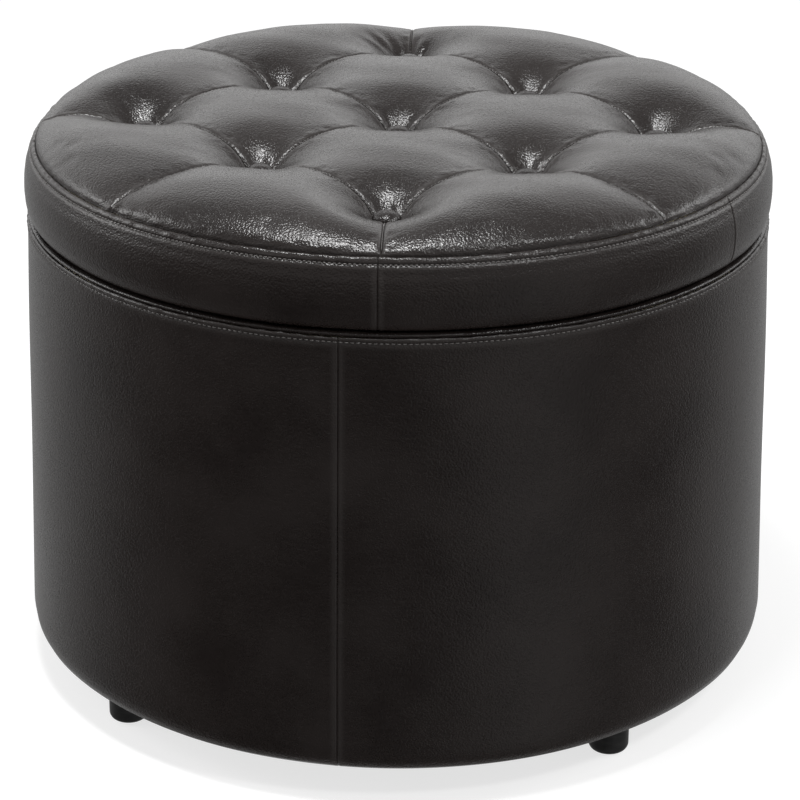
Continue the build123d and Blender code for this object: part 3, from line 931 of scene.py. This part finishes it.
drumProfile, drumLengths = softProfile(
    [(287.4, 368.6), (289.2, 369.9), (290.6, 368.9), (290.9, 366.4), (290.2, 363.6), (290.3, 359.0),
     (290.5, 349.0), (298.2, 52.0), (298.4, 42.0), (296.8, 34.0), (292.4, 28.2), (285.5, 25.1),
     (276.0, 25.0), (262.0, 25.0)], 4.0 * mm,
    [0, 0.9, 1.7, 2.5, 3.3, 4.2, 5.2, 5.8, 6.2, 6.6, 7.0, 7.4, 8.0, 9.0, 10.5, 12.5, 15.0, 19.0],
    7.2 * mm)
drumProfile[:, 1] = np.maximum(drumProfile[:, 1], drumBottom)
stitchPlaces, stitchNormals = [], []
for number in range(2):
    columns = coverShape["drumStitches"]
    turns, count = sectorTurns(drumSeamTurn + number * pi, pi, columns)
    places, outward = roundCover(
        f"cover_drum_{number + 1}", f"drum_panel_{number + 1}", "drum", drumProfile, drumLengths,
        turns, count, coverShape["drumRow"], 0.45 * mm,
        np.clip((drumProfile[:, 1] - drumBottom) / (4 * mm), 0, 1))
    stitchPlaces.append(places)
    stitchNormals.append(outward)
aroundRow("stitches_rim", np.concatenate(stitchPlaces), np.concatenate(stitchNormals),
          3.0 * mm, "drum")
print("drum cover made")


def ringSheet(name, node, body, profile, turns, material, thickness, lift):
    # a profile carried all the way round, moved along its normals by the lift
    base = carried(profile, turns)
    normals = gridNormals(base, True)
    outer = base + normals * lift(base)[..., None]
    piece = sheetPiece(name, outer, thickness, material, body, wrap=True, sideways=normals)
    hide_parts(node)


fullTurns = np.arange(444) * 2 * pi / 444


# facing over the rim, turned down inside the mouth
facingProfile, facingLengths = softProfile(
    [(287.6, 369.0), (289.4, 370.6), (289.9, 371.8), (288.4, 372.95), (285.0, 373.0),
     (259.0, 373.0), (255.6, 371.8), (255.0, 367.0), (255.0, 337.0)], 2.4 * mm,
    [0, 0.8, 1.6, 2.4, 3.2, 4.0, 5.0, 7.0], 3.0 * mm)


def facingLift(base):
    # shallow ripples on the rim's top that never stand above it
    flat = np.clip((base[..., 2] - (rimTop - 0.5 * mm)) / (0.4 * mm), 0, 1)
    hem = np.clip((rimTop - 6 * mm - base[..., 2]) / (10 * mm), 0, 1)
    dips = ripple(base, np.array([30, 30, 30]) * mm, 31)
    return -0.25 * mm * (1 + dips) * flat + 0.2 * mm * dips * hem


ringSheet("cover_rim", "rim_facing", "drum", facingProfile, fullTurns, "leather",
          coverShape["thickness"], facingLift)


liningShape = {"thickness": 0.7 * mm, "wrinkle": 0.7 * mm}
liningTurns = np.arange(240) * 2 * pi / 240
wallLine = np.stack([np.full(48, 256.75 * mm), np.linspace(371.3, 39.6, 48) * mm], 1)


def wallLiningLift(base):
    # upright soft folds below the hem
    open_ = np.clip((336 * mm - base[..., 2]) / (30 * mm), 0, 1)
    folds = ripple(base, np.array([38, 38, 260]) * mm, 51)
    return 0.5 * liningShape["wrinkle"] * (folds - 1) * open_


ringSheet("lining_wall", "wall_lining", "drum", wallLine[::-1], liningTurns, "lining",
          liningShape["thickness"], wallLiningLift)


def discSheet(name, node, body, profile, seed, amount):
    # a disc of fabric from its middle out, with cloudy unevenness
    base = carried(profile, liningTurns)
    radius = np.hypot(base[..., 0], base[..., 1])
    normals = gridNormals(base, True)
    edge = np.clip((profile[:, 0].max() - radius) / (12 * mm), 0, 1)
    lift = amount * (0.5 + 0.5 * ripple(base, np.array([55, 55, 55]) * mm, seed)) * edge
    outer = base + normals * lift[..., None]
    outer[0] = outer[0].mean(0)
    count = outer.shape[0] * outer.shape[1]
    inner = outer - normals * liningShape["thickness"]
    inner[0] = inner[0].mean(0)
    rows, columns = outer.shape[:2]
    number = np.arange(count).reshape(rows, columns)
    edgeLine = np.append(number[-1], number[-1, 0])
    strip = np.stack([edgeLine[:-1], edgeLine[1:], edgeLine[1:] + count, edgeLine[:-1] + count], -1)
    faces = np.concatenate([gridFaces(rows, columns, 0, True),
                            gridFaces(rows, columns, count, True)[:, ::-1], strip])
    piece = addMesh(name, np.concatenate([outer.reshape(-1, 3), inner.reshape(-1, 3)]), faces,
                    "lining", body)
    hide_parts(node)


def level(radius, height, rows=26):
    # a straight profile from the axis outwards at one height
    return np.stack([np.linspace(0, radius, rows), np.full(rows, height)], 1)


discSheet("lining_floor", "floor_lining", "drum", level(256.0 * mm, 39.3 * mm), 61, 0.9 * mm)
discSheet("cover_base", "dust_cover", "drum", level(271.5 * mm, 24.15 * mm), 63, 0.0)
lidLiningProfile = np.concatenate([
    level(246.0 * mm, 359.8 * mm), np.array([(248.6, 360.0), (250.1, 360.8), (250.9, 362.4),
                                            (251.0, 364.5), (251.0, 368.5), (251.0, 372.6)]) * mm])
discSheet("lining_lid", "lid_lining", "lid", lidLiningProfile, 67, 0.0)
print("linings made")


buttonShape = {"radius": 10.6 * mm, "lift": 1.5 * mm, "gathers": 14, "gatherDepth": 0.16 * mm}


def coveredButton(number, place):
    # a domed profile turned about its own axis, its rim gathered by a cosine
    # that grows with the fourth power of the radius
    profile = np.array([(0, 6.35), (1.6, 6.32), (3.2, 6.15), (4.8, 5.8), (6.2, 5.25), (7.5, 4.5),
                        (8.6, 3.55), (9.5, 2.4), (10.0, 1.4), (10.05, 0.4), (9.85, -0.8),
                        (9.3, -1.45), (7, -1.48), (0, -1.48)]) * mm
    profile[:, 0] *= buttonShape["radius"] / (10.05 * mm)
    turns = np.arange(56) * 2 * pi / 56
    grid = carried(profile, turns)
    share = (profile[:, 0] / buttonShape["radius"])[:, None]
    dome = grid[..., 2] > 0.3 * mm
    gather = np.cos(buttonShape["gathers"] * turns + number) * share ** 4 * dome
    grid[..., :2] *= 1 + 0.014 * gather[..., None]
    grid[..., 2] += buttonShape["gatherDepth"] * gather
    chance = np.random.default_rng(70 + number)
    lean = radians(chance.uniform(-3, 3))
    heading = chance.uniform(0, 2 * pi)
    tilt = lean * (grid[..., 0] * cos(heading) + grid[..., 1] * sin(heading))
    grid[..., 2] += tilt * (grid[..., 2] > 0.3 * mm)
    grid += np.array([place[0], place[1], buttonSeat + buttonShape["lift"]])
    piece = addMesh(f"cover_button_{number + 1}", grid, gridFaces(len(profile), 56, 0, True),
                    "leather", "lid")
    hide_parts(f"button_{number + 1}")


for number, place in enumerate(buttonPlaces):
    coveredButton(number, place)
print("buttons made")

# fine stitches along the top's seams; doubles from neighbouring panels are dropped
topStitch = {"length": 2.4 * mm, "radius": 0.32 * mm, "sunk": 0.15 * mm, "clear": 12 * mm}
seamLines = np.concatenate(seamStitches)
seamCentres, seamAlong = seamLines[:, 0], seamLines[:, 1]
_, keep = np.unique(np.round(seamCentres / (1.0 * mm)).astype(int), axis=0, return_index=True)
seamCentres, seamAlong = seamCentres[keep], seamAlong[keep]
clear = (nearestButton(seamCentres[:, :2]).min(-1) > topStitch["clear"])
clear &= np.hypot(seamCentres[:, 0], seamCentres[:, 1]) < seamRadius - 4 * mm
seamCentres, seamAlong = seamCentres[clear], seamAlong[clear]
seamAlong = seamAlong / np.linalg.norm(seamAlong, axis=1, keepdims=True)
seamUp = np.array([0, 0, 1.0]) - seamAlong * seamAlong[:, 2:]
seamUp /= np.linalg.norm(seamUp, axis=1, keepdims=True)
stitchRow("stitches_top_seams", seamCentres - seamUp * topStitch["sunk"], seamAlong, seamUp,
          topStitch["length"], topStitch["radius"], "lid")


studio = {
    "floorSize": 40.0,
    "lowFront": 0.03,          # below the horizon: in front, behind, and front right
    "lowBehind": 0.46,
    "lowRight": 0.34,
    "horizon": 1.30,           # bright walls behind
    "frontShare": 0.22,        # share of that in front
    "above": 0.30,
}


def floorFinish():
    # pale matt floor, lit a little from within so that its shadow stays light
    look = Finish("studio_floor")
    tone = look.noise(look.place(), 1.5, 2.0)
    colour = look.blend(tone, (0.34, 0.34, 0.34), (0.36, 0.36, 0.36))
    return look.surface(baseColor=colour, roughness=0.9, specular=0.0, glow=(1.0, 1.0, 1.0, 1),
                        glowStrength=0.72)


floorMesh = bpy.data.meshes.new("studioFloor")
half = studio["floorSize"] / 2
floorMesh.from_pydata([(-half, -half, 0), (half, -half, 0), (half, half, 0), (-half, half, 0)],
                      [], [(0, 1, 2, 3)])
floorMesh.materials.append(floorFinish())
studioFloor = bpy.data.objects.new("studioFloor", floorMesh)
bpy.context.scene.collection.objects.link(studioFloor)
studioFloor.visible_glossy = False

sky = Finish("studio_air", "worlds")
where = sky.node("ShaderNodeTexCoord", {}, {}, "Generated")
rise = sky.node("ShaderNodeSeparateXYZ", {}, {"Vector": where}, "Z")
depth = sky.node("ShaderNodeSeparateXYZ", {}, {"Vector": where}, "Y")
aboveFloor = sky.between(rise, -0.03, 0.03)
fall = sky.between(rise, 0.42, 0.80)
behind = sky.between(depth, -0.5, 0.5)
wall = studio["horizon"] * (studio["frontShare"] + (1 - studio["frontShare"]) * behind)
bright = wall + (studio["above"] - wall) * fall
around = sky.node("ShaderNodeSeparateXYZ", {}, {"Vector": where}, "X")
farBehind = sky.between(depth, -0.15, 0.65)
frontRight = sky.between(around, 0.15, 0.60) * (1 - sky.between(depth, -0.75, -0.15))
lowWall = studio["lowFront"] + (studio["lowBehind"] - studio["lowFront"]) * farBehind
lowWall = lowWall + studio["lowRight"] * frontRight
strength = lowWall + (bright - lowWall) * aboveFloor
air = sky.node("ShaderNodeBackground", {}, {"Color": (1.0, 1.0, 1.0, 1), "Strength": strength})
bpy.context.scene.world = sky.finishWith("ShaderNodeOutputWorld", air)


def softbox(name, place, target, size, power):
    # a rectangular area light that faces the target
    lamp = bpy.data.lights.new(name, "AREA")
    lamp.shape = "RECTANGLE"
    lamp.size, lamp.size_y = size
    lamp.energy = power
    lampObject = bpy.data.objects.new(name, lamp)
    lampObject.location = place
    lampObject.rotation_euler = (Vector(target) - Vector(place)).to_track_quat("-Z", "Y").to_euler()
    bpy.context.scene.collection.objects.link(lampObject)


softbox("overhead", (-0.25, -0.35, 2.6), (0, 0, 0.4), (0.62, 0.36), 42)
softbox("keyRight", (1.3, -1.5, 2.4), (0, 0, 0.4), (0.40, 0.40), 20)
softbox("left", (-2.6, 0.3, 1.6), (0, 0, 0.3), (0.9, 1.4), 22)
softbox("right", (2.6, 0.5, 1.6), (0, 0, 0.3), (0.9, 1.4), 18)

bpy.context.scene.view_settings.view_transform = "Standard"

cameraPlan = {"place": (0.0, -2.189, 1.1275), "pitch": 0.380, "roll": 0.006, "lens": 131.98,
              "shift": (0.003, -0.075)}
lens = bpy.data.cameras.new("viewer")
lens.lens = cameraPlan["lens"]
lens.shift_x, lens.shift_y = cameraPlan["shift"]
lens.clip_end = 100
viewer = bpy.data.objects.new("viewer", lens)
bpy.context.scene.collection.objects.link(viewer)
pitch, roll = cameraPlan["pitch"], cameraPlan["roll"]
forward = Vector((0, cos(pitch), -sin(pitch)))
rightward = Vector((1, 0, 0))
upward = rightward.cross(forward)
side = rightward * cos(roll) + upward * sin(roll)
top = upward * cos(roll) - rightward * sin(roll)
turn = Matrix((side, top, -forward)).transposed().to_4x4()
turn.translation = cameraPlan["place"]
viewer.matrix_world = turn
bpy.context.scene.camera = viewer
print("studio made")
